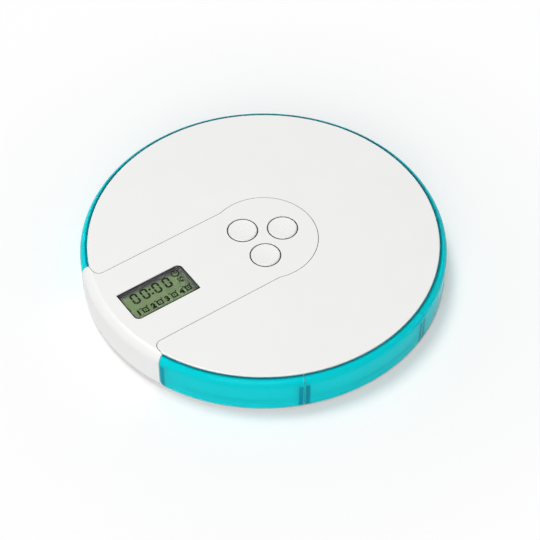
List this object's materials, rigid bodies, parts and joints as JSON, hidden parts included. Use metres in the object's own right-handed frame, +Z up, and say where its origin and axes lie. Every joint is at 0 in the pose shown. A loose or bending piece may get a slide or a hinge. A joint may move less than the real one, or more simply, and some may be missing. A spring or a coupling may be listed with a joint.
{
  "type": "automatic pill dispenser",
  "caption": "Round flat pill dispenser with fan-shaped pull-out compartments, a display on a chin, and round push buttons at its centre.",
  "frame": {"origin": "middle of the round footprint, on the surface that the pads rest on", "axes": "+Z up; +X from the chin to the far side, the direction in which the display is read; +Y to the upper edge of the display"},
  "size_m": [0.14, 0.14, 0.0171],
  "materials": {
    "shell_white": "fine satin gloss",
    "key_white": "gloss",
    "teal_translucent": "translucent moulded, polished",
    "clear_lens": "clear polished",
    "lcd": "reflective grey-green",
    "dark_plastic": "fine matte",
    "elastomer": "matte",
    "board": "solder-mask satin",
    "bright_metal": "nickel bright",
    "spring_metal": "plated spring strip",
    "pad_rubber": "matte"
  },
  "bodies": {
    "housing": {"base_shell": "shell_white", "bay_frame": "shell_white", "top_cover": "shell_white", "control_panel": "shell_white", "display_window": "clear_lens", "lcd_frame": "dark_plastic", "lcd_glass": "lcd", "contact_strips": "elastomer", "circuit_board": "board", "buzzer": "dark_plastic", "clock_crystal": "bright_metal", "timer_chip": "dark_plastic", "coin_cell": "bright_metal", "contact_minus": "spring_metal", "contact_plus": "spring_metal", "housing_screws": "bright_metal", "foot_pads": "pad_rubber", "switch_right": "dark_plastic", "switch_upper_left": "dark_plastic", "switch_lower_left": "dark_plastic"},
    "drawer_1": {"drawer_1": "teal_translucent"},
    "drawer_2": {"drawer_2": "teal_translucent"},
    "drawer_3": {"drawer_3": "teal_translucent"},
    "drawer_4": {"drawer_4": "teal_translucent"},
    "drawer_5": {"drawer_5": "teal_translucent"},
    "drawer_6": {"drawer_6": "teal_translucent"},
    "drawer_7": {"drawer_7": "teal_translucent"},
    "button_right": {"button_right": "key_white", "plunger_right": "dark_plastic"},
    "button_upper_left": {"button_upper_left": "key_white", "plunger_upper_left": "dark_plastic"},
    "button_lower_left": {"button_lower_left": "key_white", "plunger_lower_left": "dark_plastic"},
    "battery_cover": {"battery_cover": "shell_white"}
  },
  "joints": [
    {"name": "drawer_1_slide", "type": "slide", "parent": "housing", "child": "drawer_1", "axis": [-0.7071, -0.7071, 0], "range_m": [0, 0.03]},
    {"name": "drawer_2_slide", "type": "slide", "parent": "housing", "child": "drawer_2", "axis": [0, -1, 0], "range_m": [0, 0.03]},
    {"name": "drawer_3_slide", "type": "slide", "parent": "housing", "child": "drawer_3", "axis": [0.7071, -0.7071, 0], "range_m": [0, 0.03]},
    {"name": "drawer_4_slide", "type": "slide", "parent": "housing", "child": "drawer_4", "axis": [1, 0, 0], "range_m": [0, 0.03]},
    {"name": "drawer_5_slide", "type": "slide", "parent": "housing", "child": "drawer_5", "axis": [0.7071, 0.7071, 0], "range_m": [0, 0.03]},
    {"name": "drawer_6_slide", "type": "slide", "parent": "housing", "child": "drawer_6", "axis": [0, 1, 0], "range_m": [0, 0.03]},
    {"name": "drawer_7_slide", "type": "slide", "parent": "housing", "child": "drawer_7", "axis": [-0.7071, 0.7071, 0], "range_m": [0, 0.03]},
    {"name": "button_right_press", "type": "slide", "parent": "housing", "child": "button_right", "axis": [0, 0, -1], "range_m": [0, 0.0006], "stiffness_N_per_m": 1500},
    {"name": "button_upper_left_press", "type": "slide", "parent": "housing", "child": "button_upper_left", "axis": [0, 0, -1], "range_m": [0, 0.0006], "stiffness_N_per_m": 1500},
    {"name": "button_lower_left_press", "type": "slide", "parent": "housing", "child": "button_lower_left", "axis": [0, 0, -1], "range_m": [0, 0.0006], "stiffness_N_per_m": 1500},
    {"name": "battery_cover_turn", "type": "hinge", "parent": "housing", "child": "battery_cover", "pos_m": [0, 0, 0.0014], "axis": [0, 0, -1], "range_deg": [0, 45]}
  ]
}
